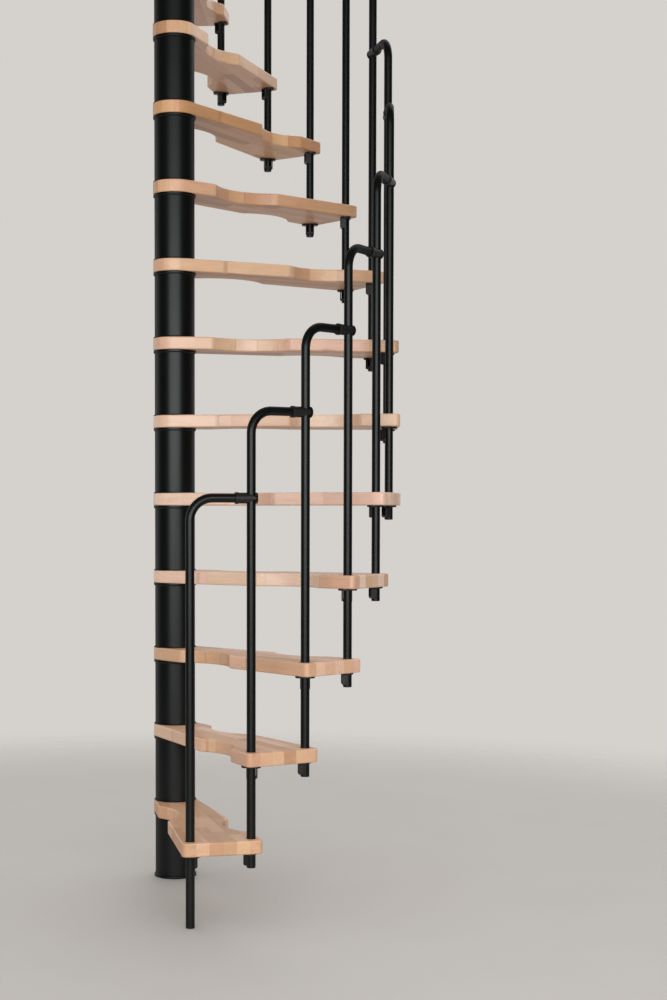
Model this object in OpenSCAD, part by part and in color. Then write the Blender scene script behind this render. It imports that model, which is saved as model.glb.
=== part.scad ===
// Spiral staircase of twelve interlocking half-turn treads round a sectional column.
// Origin at the centre of the base plate on the floor, Z up, millimetres.
// Azimuth 0 points along -Y and grows counter-clockwise seen from above, the way the stair climbs.

/* [Climb] */
// height from one tread to the next
rise = 230; // [200:1:250]
// turn from one tread to the next, degrees
step_angle = 14.77; // [12:0.01:20]
// azimuth of the first baluster, degrees
first_azimuth = 3.45; // [0:0.01:20]
// height of the top of the first tread above the floor
first_top = 230; // [190:1:250]

/* [Treads] */
// thickness of a tread
tread_thickness = 37; // [28:1:50]
// distance from the column axis to the flat outer end of a tread
tread_reach = 667; // [600:1:800]
// diameter of the round inner end that is clamped in the column
ring_diameter = 127; // [110:1:150]
// half width of the tread at its outer end
end_half_width = 109; // [95:1:125]
// rounding of the two outer corners, seen from above
corner_radius = 14; // [6:1:20]
// distance from the column axis to the middle of the inner hollow
inner_notch_at = 211; // [200:1:230]
// radius of the inner hollow
inner_notch_radius = 172; // [150:1:200]
// half width left at the inner hollow
inner_notch_half_width = 33; // [28:1:42]
// distance from the column axis to the middle of the outer hollow
outer_notch_at = 440; // [420:1:465]
// radius of the outer hollow
outer_notch_radius = 149; // [130:1:175]
// half width left at the outer hollow
outer_notch_half_width = 52; // [44:1:60]
// rounding where a hollow meets the straight side
notch_blend = 20; // [12:1:30]

/* [Railing] */
// outer diameter of the baluster tube
tube_diameter = 24; // [20:0.5:30]
// wall of the baluster tube
tube_wall = 2; // [1.5:0.1:3]
// distance from the outer end of a tread to the circle of the baluster axes
baluster_inset = 27; // [24:1:60]
// radius of the bend at the top of a baluster, on the tube axis
bend_radius = 60; // [45:1:80]
// height of the arm above the tread that its baluster stands in
rail_height = 900; // [800:1:1100]
// play of the tube in the tread's hole, on the diameter
tread_hole_play = 1; // [0.5:0.1:2]
// how far a tube reaches below the tread that holds its foot
foot_reach = 42; // [30:1:50]

/* [Sockets and clamps] */
// length of the socket's flange under the tread, between its round ends
flange_length = 53; // [46:1:62]
// radius of those ends
flange_end_radius = 17.5; // [15:0.5:19]
// width of the flange, between its straight sides
flange_width = 32; // [29:1:34]
// thickness of the flange
flange_thickness = 5; // [3:0.5:8]
// height of the socket below the tread, with its flange
socket_length = 35; // [28:1:42]
// width of the boss that holds one side of the tube
boss_width = 27; // [26:0.5:32]
// how far the boss reaches from the tube axis
boss_reach = 17.5; // [15:0.5:20]
// bevel at the lower outer edge of the boss
boss_bevel = 5; // [2:0.5:8]
// angle between the boss and the middle line of the tread, degrees
boss_angle = 45; // [0:1:60]
// wall of the rail clamp round the arm and round the next baluster
clamp_wall = 2.5; // [1.5:0.1:4]
// length of the rail clamp on the arm's side of the baluster that it holds
clamp_length = 44; // [35:1:60]
// how far the tapered end of the rail clamp reaches beyond the axis of that baluster
clamp_tip = 10.5; // [6:0.5:12]
// height of the taper at its tip
clamp_tip_height = 3; // [2:0.5:6]
// diameter of the rim at the open end of the rail clamp
clamp_rim_diameter = 31.5; // [29:0.5:36]
// length of that rim
clamp_rim_length = 9; // [4:0.5:12]
// distance from the baluster axis to the outer face of the round cap opposite the clamp
clamp_cap_at = 16; // [14.5:0.5:20]
// diameter of that cap
clamp_cap_diameter = 30; // [24:1:34]
// thickness of that cap
clamp_cap_thickness = 2.5; // [1.5:0.5:4]
// diameter of the hub between the cap and the baluster
clamp_hub_diameter = 16; // [12:1:20]

/* [Column] */
// diameter of a column section
column_diameter = 119; // [100:1:140]
// wall of a column section
column_wall = 4; // [2:0.5:6]
// diameter of the lip at both ends of a section
lip_diameter = 126; // [110:1:150]
// height of the lip under a tread, and of the one on the floor
lip_height = 9; // [6:0.5:14]
// height of the lip on top of a tread
upper_lip_height = 3; // [2:0.5:8]
// bevel of the lip's outer edge towards the tube
lip_bevel = 2.5; // [1:0.5:3.5]
// how deep a collar reaches into its section
spigot_depth = 15; // [8:1:25]
// wall of that spigot
spigot_wall = 5; // [3:0.5:8]
// height of the cap on top of the column
cap_height = 46; // [42:1:60]
// wall of that cap
cap_wall = 4; // [3:0.5:6]
// diameter of the tie rod inside the column
rod_diameter = 24; // [16:1:30]
// play of the tie rod in the treads and collars, on the diameter
rod_play = 1; // [0.5:0.1:3]
// diameter of the circle of floor anchors
anchor_circle = 72; // [64:1:80]
// diameter of a floor anchor's hole
anchor_hole = 11; // [8:0.5:13]

/* [Hidden] */
$fn = 96;
treads = 12;
half_turn = step_angle / 2;
baluster_circle = tread_reach - baluster_inset;
clamp_radius = tube_diameter / 2 + clamp_wall;
tube_radius = tube_diameter / 2;
bore_radius = tube_radius - tube_wall;
ring_radius = ring_diameter / 2;
end_rounding = min(corner_radius, end_half_width / 4);
side_angle = acos(ring_radius / norm([tread_reach, end_half_width])) - atan2(tread_reach, end_half_width);
tuck = 0.02;
rod_seat = lip_height / 3;
arm_gap = clamp_wall;
column_bore_radius = column_diameter / 2 - column_wall;
plug_lip = 3;
plug_depth = 12;
post_over_clamp = 4;
post_top = first_top + (treads - 1) * rise + rail_height + clamp_radius + post_over_clamp;
screw_diameter = 6;
screw_head = 2.3;
chord = 2 * baluster_circle * sin(half_turn);
wood = [0.84, 0.63, 0.45];
black = [0.05, 0.05, 0.055];
plastic = [0.07, 0.07, 0.075];
steel = [0.55, 0.55, 0.57];

// azimuth of baluster i and height of the top of tread i
function azimuth(i) = first_azimuth + (i - 1) * step_angle;
function tread_top(i) = first_top + (i - 1) * rise;
function tread_under(i) = tread_top(i) - tread_thickness;

// height of the lower end of upright i, and of the axis of arm i
function foot_at(i) = i == 1 ? 0 : tread_under(i - 1) - foot_reach;
function arm_height(i) = tread_top(i) + rail_height;

// The straight side of a tread runs at side_angle and touches the round inner end.
// A point at a distance along that side and above it, in the tread's own frame
function side_point(along, up) = [
  along * cos(side_angle) - (ring_radius + up) * sin(side_angle),
  along * sin(side_angle) + (ring_radius + up) * cos(side_angle)
];
function along_side(p) = p[0] * cos(side_angle) + p[1] * sin(side_angle);
function above_side(p) = p[1] * cos(side_angle) - p[0] * sin(side_angle) - ring_radius;

// centre of a hollow's circle, from where it sits, its radius and the half width it leaves
function notch_centre(at, radius, left) = [at, left + radius];

// centre of the rounding between the side and a hollow: way is -1 towards the column, 1 outward
function blend_centre(c, radius, way) =
  side_point(
    along_side(c) + way * sqrt(pow(radius + notch_blend, 2) - pow(above_side(c) + notch_blend, 2)),
    -notch_blend
  );

// a point just past the place where that rounding meets the hollow
function past_blend(b, c) = b + (c - b) * (notch_blend + 1) / norm(c - b);

// a point just outside the straight side, beside a point of the tread
function beside(p) = side_point(along_side(p), 1);

function flip(p) = [p[0], -p[1]];

// centre of the rounding of the outer corner, which touches the end face and the straight side
function corner_centre() = [
  tread_reach - end_rounding,
  (ring_radius - end_rounding + (tread_reach - end_rounding) * sin(side_angle)) / cos(side_angle)
];

// A disc as thick as a tread, at a point seen from above. It stands past the faces that trim it by a hair,
// so that it crosses them and does not only touch them.
module disc(at, radius) {
  translate([at[0], at[1], 0]) cylinder(r = radius + tuck, h = tread_thickness);
}

// What lies outside the straight side
module side_trim() {
  rotate([0, 0, side_angle])
    translate([-10, ring_radius, -1])
      cube([2 * tread_reach, end_half_width, tread_thickness + 2]);
}

// Tread along +X, with the inner hollow on its +Y side and the outer one on its -Y side
module tread_blank() {
  ri = inner_notch_radius;
  ro = outer_notch_radius;
  ci = notch_centre(inner_notch_at, ri, inner_notch_half_width);
  co = notch_centre(outer_notch_at, ro, outer_notch_half_width);
  b1 = blend_centre(ci, ri, -1);
  b2 = blend_centre(ci, ri, 1);
  b3 = blend_centre(co, ro, -1);
  b4 = blend_centre(co, ro, 1);
  k = corner_centre();
  difference() {
    union() {
      linear_extrude(height = tread_thickness)
        polygon([
          side_point(0, 1), beside(b1), b1, past_blend(b1, ci), past_blend(b2, ci), b2, beside(b2),
          beside(k), k, [tread_reach + 1, k[1]], [tread_reach + 1, -k[1]], flip(k),
          flip(beside(k)), flip(beside(b4)), flip(b4), flip(past_blend(b4, co)),
          flip(past_blend(b3, co)), flip(b3), flip(beside(b3)), flip(side_point(0, 1)), [0, 0]
        ]);
      disc([0, 0], ring_radius);
      disc(b1, notch_blend);
      disc(b2, notch_blend);
      disc(flip(b3), notch_blend);
      disc(flip(b4), notch_blend);
      disc(k, end_rounding);
      disc(flip(k), end_rounding);
    }
    translate([ci[0], ci[1], -1]) cylinder(r = ri, h = tread_thickness + 2);
    translate([co[0], -co[1], -1]) cylinder(r = ro, h = tread_thickness + 2);
    side_trim();
    mirror([0, 1, 0]) side_trim();
    translate([tread_reach, -end_half_width, -1]) cube([20, 2 * end_half_width, tread_thickness + 2]);
  }
}

// One tread at its place: odd treads are mirror images of even ones
module tread(i) {
  translate([0, 0, tread_under(i)])
    rotate([0, 0, azimuth(i) + half_turn - 90])
      difference() {
        mirror([0, i % 2 == 0 ? 0 : 1, 0]) tread_blank();
        translate([0, 0, -1]) cylinder(d = rod_diameter + rod_play, h = tread_thickness + 2);
        for (side = [-1, 1])
          rotate([0, 0, side * half_turn])
            translate([baluster_circle, 0, -1])
              cylinder(d = tube_diameter + tread_hole_play, h = tread_thickness + 2);
      }
}

// A round bar or tube along +Z
module tube(length) {
  linear_extrude(height = length)
    difference() {
      circle(r = tube_radius);
      circle(r = bore_radius);
    }
}

// One baluster at its place: upright, bend and arm to the next baluster
module baluster(i) {
  foot = foot_at(i) + plug_lip;
  arm_at = arm_height(i);
  at_baluster(i)
    rotate([0, 0, azimuth(i) + half_turn])
      union() {
        translate([0, 0, foot]) tube(arm_at - bend_radius - foot);
        translate([bend_radius, 0, arm_at - bend_radius])
          rotate([90, 0, 0])
            rotate([0, 0, 90])
              rotate_extrude(angle = 90)
                translate([bend_radius, 0])
                  difference() {
                    circle(r = tube_radius);
                    circle(r = bore_radius);
                  }
        translate([bend_radius, 0, arm_at])
          rotate([0, 90, 0])
            tube(chord - bend_radius - tube_radius - arm_gap);
      }
}

// The flange of a socket, long along Y, with straight sides between its round ends
module flange() {
  shift = flange_length / 2 - flange_end_radius;
  intersection() {
    union() {
      for (y = [-shift, shift])
        translate([0, y, -flange_thickness]) cylinder(r = flange_end_radius, h = flange_thickness);
      translate([-flange_width / 2 - 1, -shift, -flange_thickness])
        cube([flange_width + 2, 2 * shift, flange_thickness]);
    }
    translate([-flange_width / 2, -flange_length, -flange_thickness - 1])
      cube([flange_width, 2 * flange_length, flange_thickness + 2]);
  }
}

// The socket under a tread: its flange, and on the -X side a boss that holds the tube
module socket() {
  top = -flange_thickness / 2;
  difference() {
    union() {
      flange();
      rotate([90, 0, 0])
        linear_extrude(height = boss_width, center = true)
          polygon([
            [0, top],
            [-boss_reach, top],
            [-boss_reach, boss_bevel - socket_length],
            [boss_bevel - boss_reach, -socket_length],
            [0, -socket_length]
          ]);
    }
    translate([0, 0, -socket_length - 1]) cylinder(r = tube_radius, h = socket_length + 2);
  }
}

module sockets(side) {
  for (i = [1 : treads])
    translate([0, 0, tread_under(i)])
      rotate([0, 0, azimuth(i) + half_turn + side * half_turn - 90])
        translate([baluster_circle, 0, 0])
          rotate([0, 0, side * (boss_angle - half_turn)])
            socket();
}

// What is cut from the top of a clamp, so that it tapers beside the upright
module clamp_taper() {
  start = clamp_wall - tube_radius;
  slope = (clamp_radius - clamp_tip_height / 2) / (clamp_tip - start);
  rotate([90, 0, 0])
    linear_extrude(height = 4 * clamp_radius, center = true)
      polygon([
        [start - 2 / slope, clamp_radius + 2],
        [clamp_tip + 1, clamp_tip_height / 2 - slope],
        [clamp_tip + 1, clamp_radius + 2]
      ]);
}

// The clamp between an arm and the next baluster: a sleeve along X with its bore for the arm.
// It is bored across for the upright at the origin, and tapers on both sides of it.
module rail_clamp() {
  difference() {
    translate([-clamp_length, 0, 0])
      rotate([0, 90, 0])
        union() {
          cylinder(r = clamp_radius, h = clamp_length + clamp_tip);
          cylinder(d = clamp_rim_diameter, h = clamp_rim_length);
        }
    translate([0, 0, -clamp_radius - 1]) cylinder(r = tube_radius, h = 2 * clamp_radius + 2);
    translate([-clamp_length - 1, 0, 0])
      rotate([0, 90, 0])
        cylinder(r = tube_radius, h = clamp_length + 1 - tube_radius - arm_gap);
    clamp_taper();
    mirror([0, 0, 1]) clamp_taper();
  }
}

// The round cap on the far side of that upright, with a hub that fits the tube
module clamp_cap() {
  hub_start = tube_radius / 2;
  difference() {
    union() {
      translate([clamp_cap_at - clamp_cap_thickness, 0, 0])
        rotate([0, 90, 0])
          cylinder(d = clamp_cap_diameter, h = clamp_cap_thickness);
      translate([hub_start, 0, 0])
        rotate([0, 90, 0])
          cylinder(d = clamp_hub_diameter, h = clamp_cap_at - clamp_cap_thickness / 2 - hub_start);
    }
    translate([0, 0, -clamp_radius]) cylinder(r = tube_radius, h = 2 * clamp_radius);
  }
}

module at_clamp(i) {
  at_baluster(i + 1)
    translate([0, 0, arm_height(i)])
      rotate([0, 0, azimuth(i) + half_turn])
        children();
}

// A plug that closes a tube from below, with its lip at a height
module plug(foot) {
  translate([0, 0, foot]) cylinder(r = tube_radius, h = plug_lip);
  translate([0, 0, foot + plug_lip]) cylinder(r = bore_radius, h = plug_depth);
}

module at_baluster(i) {
  translate([baluster_circle * sin(azimuth(i)), -baluster_circle * cos(azimuth(i)), 0])
    children();
}

// Collar: a lip of a given height that shows, and a spigot that goes into the tube above it
module collar(lip) {
  bore = (rod_diameter + rod_play) / 2;
  bevel = min(lip_bevel, lip / 2);
  rotate_extrude()
    polygon([
      [bore, 0],
      [lip_diameter / 2, 0],
      [lip_diameter / 2, lip - bevel],
      [lip_diameter / 2 - bevel, lip],
      [column_bore_radius, lip],
      [column_bore_radius, lip + spigot_depth],
      [column_bore_radius - spigot_wall, lip + spigot_depth],
      [column_bore_radius - spigot_wall, lip],
      [bore, lip]
    ]);
}

module column_section(low, high) {
  translate([0, 0, low])
    linear_extrude(height = high - low)
      difference() {
        circle(d = column_diameter);
        circle(r = column_bore_radius);
      }
}

module tread_01() { color(wood) tread(1); }
module tread_02() { color(wood) tread(2); }
module tread_03() { color(wood) tread(3); }
module tread_04() { color(wood) tread(4); }
module tread_05() { color(wood) tread(5); }
module tread_06() { color(wood) tread(6); }
module tread_07() { color(wood) tread(7); }
module tread_08() { color(wood) tread(8); }
module tread_09() { color(wood) tread(9); }
module tread_10() { color(wood) tread(10); }
module tread_11() { color(wood) tread(11); }
module tread_12() { color(wood) tread(12); }

module baluster_01() { color(black) baluster(1); }
module baluster_02() { color(black) baluster(2); }
module baluster_03() { color(black) baluster(3); }
module baluster_04() { color(black) baluster(4); }
module baluster_05() { color(black) baluster(5); }
module baluster_06() { color(black) baluster(6); }
module baluster_07() { color(black) baluster(7); }
module baluster_08() { color(black) baluster(8); }
module baluster_09() { color(black) baluster(9); }
module baluster_10() { color(black) baluster(10); }
module baluster_11() { color(black) baluster(11); }
module baluster_12() { color(black) baluster(12); }

// The straight post in the top tread that takes the last arm
module end_post() {
  foot = foot_at(treads + 1) + plug_lip;
  color(black)
    at_baluster(treads + 1)
      translate([0, 0, foot]) tube(post_top - plug_lip - foot);
}

module front_sockets() {
  color(plastic) sockets(-1);
}

module rear_sockets() {
  color(plastic) sockets(1);
}

module rail_clamps() {
  color(plastic)
    for (i = [1 : treads])
      at_clamp(i) rail_clamp();
}

// Round caps on the far side of the balusters that the clamps hold
module clamp_caps() {
  color(plastic)
    for (i = [1 : treads])
      at_clamp(i) clamp_cap();
}

// Small screws in those caps
module clamp_screws() {
  color(steel)
    for (i = [1 : treads])
      at_clamp(i)
        translate([clamp_cap_at, 0, 0])
          rotate([0, 90, 0])
            cylinder(d = screw_diameter, h = screw_head);
}

// Plugs in the open ends of the tubes, and the cap on the end post
module tube_plugs() {
  color(plastic) {
    for (i = [1 : treads + 1])
      at_baluster(i) plug(foot_at(i));
    at_baluster(treads + 1)
      translate([0, 0, post_top])
        mirror([0, 0, 1])
          plug(0);
  }
}

// Base plate: the same lip and spigot, closed below, with a seat for the tie rod
module base_plate() {
  color(black)
    difference() {
      union() {
        collar(lip_height);
        cylinder(r = column_bore_radius, h = rod_seat);
      }
      for (a = [45 : 90 : 315])
        rotate([0, 0, a])
          translate([anchor_circle / 2, 0, -1])
            cylinder(d = anchor_hole, h = lip_height + 2);
    }
}

module column_sections() {
  color(black) {
    column_section(lip_height, tread_under(1) - lip_height);
    for (i = [1 : treads - 1])
      column_section(tread_top(i) + upper_lip_height, tread_under(i + 1) - lip_height);
  }
}

module column_collars() {
  color(black)
    for (i = [1 : treads]) {
      translate([0, 0, tread_under(i)]) mirror([0, 0, 1]) collar(lip_height);
      if (i < treads)
        translate([0, 0, tread_top(i)]) collar(upper_lip_height);
    }
}

// Cap over the nut of the tie rod on the top tread
module column_cap() {
  bevel = 6;
  color(black)
    translate([0, 0, tread_top(treads)])
      rotate_extrude()
        polygon([
          [lip_diameter / 2, 0],
          [lip_diameter / 2, lip_height],
          [column_diameter / 2, lip_height],
          [column_diameter / 2, cap_height - bevel],
          [column_diameter / 2 - bevel, cap_height],
          [0, cap_height],
          [0, cap_height - cap_wall],
          [column_diameter / 2 - cap_wall, cap_height - cap_wall],
          [column_diameter / 2 - cap_wall, 0]
        ]);
}

// Rod from the base plate to the nut on the top tread
module tie_rod() {
  nut_across = rod_diameter * 1.8;
  nut_height = rod_diameter * 0.75;
  washer = 4;
  rod_end = 8;
  color(steel)
    union() {
      translate([0, 0, rod_seat])
        cylinder(d = rod_diameter, h = tread_top(treads) + washer + nut_height + rod_end - rod_seat);
      translate([0, 0, lip_height]) cylinder(d = nut_across, h = nut_height, $fn = 6);
      translate([0, 0, tread_top(treads)]) cylinder(d = 3 * rod_diameter, h = washer);
      translate([0, 0, tread_top(treads) + washer]) cylinder(d = nut_across, h = nut_height, $fn = 6);
    }
}

tread_01();
tread_02();
tread_03();
tread_04();
tread_05();
tread_06();
tread_07();
tread_08();
tread_09();
tread_10();
tread_11();
tread_12();
baluster_01();
baluster_02();
baluster_03();
baluster_04();
baluster_05();
baluster_06();
baluster_07();
baluster_08();
baluster_09();
baluster_10();
baluster_11();
baluster_12();
end_post();
front_sockets();
rear_sockets();
rail_clamps();
clamp_caps();
clamp_screws();
tube_plugs();
base_plate();
column_sections();
column_collars();
column_cap();
tie_rod();
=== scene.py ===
# %% [markdown]
# # A half-turn spiral staircase in wood and black tube
# The stair climbs round a black column that is built up from short sections. Twelve hollowed treads are
# clamped between the sections, and bent tubes run through the treads' outer corners and join into a rail.
# This script dresses the packed solids: each step shows one piece, how it is worked out as a surface,
# and what its finish is made of. All lengths are in metres, Z is up, and the column stands on the origin.

# %% Load the frame
import math

import bmesh
import bpy
import numpy as np
from mathutils import Matrix, Vector
from mathutils.geometry import delaunay_2d_cdt


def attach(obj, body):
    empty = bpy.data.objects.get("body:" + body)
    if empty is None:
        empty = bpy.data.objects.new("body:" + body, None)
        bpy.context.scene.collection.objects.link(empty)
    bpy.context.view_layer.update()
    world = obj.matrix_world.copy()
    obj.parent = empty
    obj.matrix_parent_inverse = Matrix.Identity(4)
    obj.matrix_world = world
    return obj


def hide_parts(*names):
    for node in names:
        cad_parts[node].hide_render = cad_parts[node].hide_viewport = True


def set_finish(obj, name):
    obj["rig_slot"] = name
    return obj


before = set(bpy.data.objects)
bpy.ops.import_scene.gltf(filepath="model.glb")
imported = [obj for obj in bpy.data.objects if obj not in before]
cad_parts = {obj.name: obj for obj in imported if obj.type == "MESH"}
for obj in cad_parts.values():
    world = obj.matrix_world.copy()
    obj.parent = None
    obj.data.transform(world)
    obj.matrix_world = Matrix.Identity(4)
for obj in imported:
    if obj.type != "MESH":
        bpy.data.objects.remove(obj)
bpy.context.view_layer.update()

# %% [markdown]
# ## The numbers of the stair
# The same few sizes drive the whole stair, so they are written once, in metres and degrees. A real stair of
# this kind is sold as a kit for a known floor height: the rise and the turn repeat from tread to tread.

# %% Sizes shared by all pieces
TREADS = 12
NUMBERS = range(1, TREADS + 1)
RISE, STEP_TURN = 0.230, 14.77
FIRST_AZIMUTH, FIRST_TOP = 3.45, 0.230
THICK = 0.037
HALF_TURN = STEP_TURN / 2
BALUSTER_CIRCLE, TUBE = 0.640, 0.012
BEND, RAIL = 0.060, 0.900
FOOT_REACH = 0.042
CHORD = 2 * BALUSTER_CIRCLE * math.sin(math.radians(HALF_TURN))
CLAMP_WALL = 0.0025


def azimuth(i):
    """Azimuth of baluster i in degrees: the first one plus i - 1 turns."""
    return FIRST_AZIMUTH + (i - 1) * STEP_TURN


def tread_top(i):
    """Height of the top of tread i: the first one plus i - 1 rises."""
    return FIRST_TOP + (i - 1) * RISE


print("climb:", round(tread_top(TREADS), 3), "m, turn:", round(azimuth(TREADS) - azimuth(1), 2), "degrees")

# %% [markdown]
# ## The view
# The camera stands a little higher than the fourth tread, about five metres in front of the column. It looks
# slightly down and to the right, and its sensor is shifted up and to the right, as when a picture is cropped
# from a wider one. The angles turn it in this order: yaw about Z, pitch about its own right-hand axis, then
# roll about the line of sight.

# %% Camera
STAND = (0, -4.911, 1.0916)
YAW, PITCH, ROLL = 0.0546, -0.0397, 0.0007
aim = Vector((math.sin(YAW) * math.cos(PITCH), math.cos(YAW) * math.cos(PITCH), math.sin(PITCH)))
level = Vector((math.cos(YAW), -math.sin(YAW), 0))
upward = level.cross(aim)
right = math.cos(ROLL) * level + math.sin(ROLL) * upward
above = math.cos(ROLL) * upward - math.sin(ROLL) * level

lens = bpy.data.cameras.new("view")
lens.lens, lens.sensor_width, lens.sensor_fit = 58.96, 36, "AUTO"
lens.shift_x, lens.shift_y = 0.0690, 0.0778
lens.dof.use_dof = False
camera = bpy.data.objects.new("view", lens)
bpy.context.collection.objects.link(camera)
camera.matrix_world = Matrix.Translation(STAND) @ Matrix((right, above, -aim)).transposed().to_4x4()
bpy.context.scene.camera = camera
print("camera looks along", [round(v, 3) for v in aim])

# %% [markdown]
# ## Surfaces as grids
# Nearly everything here is a tube, a ring or a board, so it is a grid of points: one direction runs round a
# section and the other runs along a path. Small helpers place the points and number the squares between
# them. Whole arrays go in and come out, so no loop runs over single points.

# %% Grids


def circle(count):
    """Angles of points spread evenly round a circle, from 0 to just short of a full turn."""
    return np.linspace(0, 2 * math.pi, count, endpoint=False)


def squares(rows, columns, close_rows=False):
    """Four-sided faces between rings of points: (r, c) joins (r, c + 1), (r + 1, c + 1) and (r + 1, c)."""
    r = np.arange(rows if close_rows else rows - 1)[:, None]
    c = np.arange(columns)[None, :]
    near, far = r * columns, (r + 1) % rows * columns
    nxt = (c + 1) % columns
    return np.stack([near + c, near + nxt, far + nxt, far + c], -1).reshape(-1, 4)


def tube_faces(rows, columns):
    """The squares between the rings, with one flat face across the first ring and one across the last."""
    last = (rows - 1) * columns
    return [*squares(rows, columns), range(columns)[::-1], range(last, last + columns)]


def at_heights(loops, heights):
    """Points of flat loops, one loop for each height: x and y of the loop, with that height as z."""
    return np.concatenate([loops, np.broadcast_to(heights[:, None, None], loops.shape[:2] + (1,))], -1)


print("a ring of 8 by 6 points has", len(squares(8, 6, close_rows=True)), "faces")

# %% [markdown]
# A shell keeps points and faces together. It can be turned, moved, mirrored and added to another, and each of
# these gives a new shell, so one form can be placed many times.

# %% Shells


class Shell:
    """Points, faces and per-point values of a surface in the making."""

    def __init__(self, points, faces, **marks):
        self.points = np.asarray(points, float).reshape(-1, 3)
        self.faces = [tuple(int(v) for v in f) for f in faces]
        self.marks = {name: np.asarray(values, float) for name, values in marks.items()}

    def __add__(self, other):
        """Both shells in one, the second one's faces numbered on from the first one's points."""
        faces = self.faces + [tuple(v + len(self.points) for v in f) for f in other.faces]
        marks = {n: np.concatenate([self.marks[n], other.marks[n]]) for n in self.marks}
        return Shell(np.concatenate([self.points, other.points]), faces, **marks)

    def turned(self, degrees, axis=2):
        """Turned about X, Y or Z (axis 0, 1 or 2) through the origin by the usual cosine and sine matrix."""
        a = math.radians(degrees)
        p, q = [(1, 2), (2, 0), (0, 1)][axis]
        spin = np.eye(3)
        spin[p, p], spin[p, q], spin[q, p], spin[q, q] = math.cos(a), -math.sin(a), math.sin(a), math.cos(a)
        return Shell(self.points @ spin.T, self.faces, **self.marks)

    def moved(self, x=0.0, y=0.0, z=0.0):
        """Every point plus the same step."""
        return Shell(self.points + (x, y, z), self.faces, **self.marks)

    def flipped(self):
        """The same points, with every face running the other way round, so it points to the other side."""
        return Shell(self.points, [f[::-1] for f in self.faces], **self.marks)

    def mirrored(self, axis):
        """One coordinate changes sign, and the faces are flipped, so that they still point outward."""
        sign = np.ones(3)
        sign[axis] = -1
        return Shell(self.points * sign, self.faces, **self.marks).flipped()


def joined(shells):
    """All shells of a list in one."""
    whole = shells[0]
    for shell in shells[1:]:
        whole = whole + shell
    return whole


print("a tube of 2 rings of 6 points has", len(Shell(np.zeros((12, 3)), tube_faces(2, 6)).faces), "faces")

# %% [markdown]
# ## Rounded profiles
# No edge of a turned, moulded or lacquered piece is perfectly sharp: a small radius catches the light as a
# thin line. A profile is therefore drawn with sharp corners and then softened. Each corner is replaced by an
# arc, with a guard point left just beside it, so that the flat faces stay flat when they are shaded smoothly.

# %% Soften a profile


def arc(centre, start, end, steps):
    """Points centre + cos t * start + sin t * side, with side a quarter turn to the left of start.

    The angle t runs evenly from 0 to the angle between start and end, the first and last radius."""
    turn = math.atan2(start[0] * end[1] - start[1] * end[0], float(np.dot(start, end)))
    t = np.linspace(0, turn, steps + 1)[:, None]
    side = np.array([-start[1], start[0]])
    return centre + np.cos(t) * start + np.sin(t) * side


def softened(corners, radius, steps=4, guard=0.0008):
    """Closed profile with each corner cut back by radius / tan(half its angle) and an arc in its place."""
    corners = np.asarray(corners, float)
    radii = np.broadcast_to(radius, len(corners))
    rows = []
    for at, before, after, r in zip(corners, np.roll(corners, 1, 0), np.roll(corners, -1, 0), radii):
        u, v = before - at, after - at
        lu, lv = np.linalg.norm(u), np.linalg.norm(v)
        u, v = u / lu, v / lv
        half = math.acos(np.clip(np.dot(u, v), -1, 1)) / 2
        cut = min(r / math.tan(half), 0.45 * lu, 0.45 * lv)
        middle = at + (u + v) / np.linalg.norm(u + v) * cut / math.cos(half)
        bow = arc(middle, at + u * cut - middle, at + v * cut - middle, steps)
        if cut + guard < 0.5 * lu:
            rows.append((at + u * (cut + guard))[None])
        rows.append(bow)
        if cut + guard < 0.5 * lv:
            rows.append((at + v * (cut + guard))[None])
    return np.concatenate(rows)


def rounded_rings(low, high, low_round, high_round, steps=4):
    """Insets and heights up a wall with two rounded edges: inset r (1 - sin t), height r (1 - cos t)."""
    t = np.linspace(0, math.pi / 2, steps)
    quarter = np.stack([1 - np.sin(t), 1 - np.cos(t)], -1)
    bottom = low_round * quarter + (0, low)
    top = high_round * quarter * (1, -1) + (0, high)
    return np.concatenate([bottom, top[::-1]])


print("a softened square has", len(softened([(0, 0), (1, 0), (1, 1), (0, 1)], 0.1)), "points")

# %% [markdown]
# ## Turning a profile
# Rings, plugs, caps and screws are made on a lathe or look so: a profile of radii and heights is carried
# round Z. A closed profile gives a ring. An open one gives a solid, whose first and last circles are filled.

# %% Turn a profile


def spun(profile, around):
    """The point (r, z) of a profile turned about Z: (r cos t, r sin t, z), for t round the circle."""
    t = circle(around)
    r, z = profile[:, 0][:, None], profile[:, 1][:, None]
    return np.stack([r * np.cos(t), r * np.sin(t), z + 0 * t], -1)


def lathe(profile, around):
    """Closed ring of a closed profile, flipped where the profile runs clockwise, which its area shows."""
    r, z = profile[:, 0], profile[:, 1]
    area = np.dot(r, np.roll(z, -1)) - np.dot(z, np.roll(r, -1))
    ring = Shell(spun(profile, around), squares(len(profile), around, close_rows=True))
    return ring if area > 0 else ring.flipped()


def turned_solid(profile, around):
    """Solid of an open profile, with a flat face across its first circle and one across its last."""
    return Shell(spun(profile, around), tube_faces(len(profile), around))


def drum(radius, low, high, around=64):
    """Plain round cutter from one height to another, on Z."""
    return turned_solid(np.array([(radius, low), (radius, high)]), around)


print("a drum has", len(drum(1, 0, 1).faces), "faces")

# %% [markdown]
# ## From shell to piece
# A finished shell becomes a Blender mesh with its place in its points, so the object stays at the origin.
# Edges sharper than a set angle are kept crisp and the rest is shaded smoothly. Each piece rides on the
# stair's only body, takes over from the solid that it shows, and names the finish it is made of.

# %% Make a piece
made = {}


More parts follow.
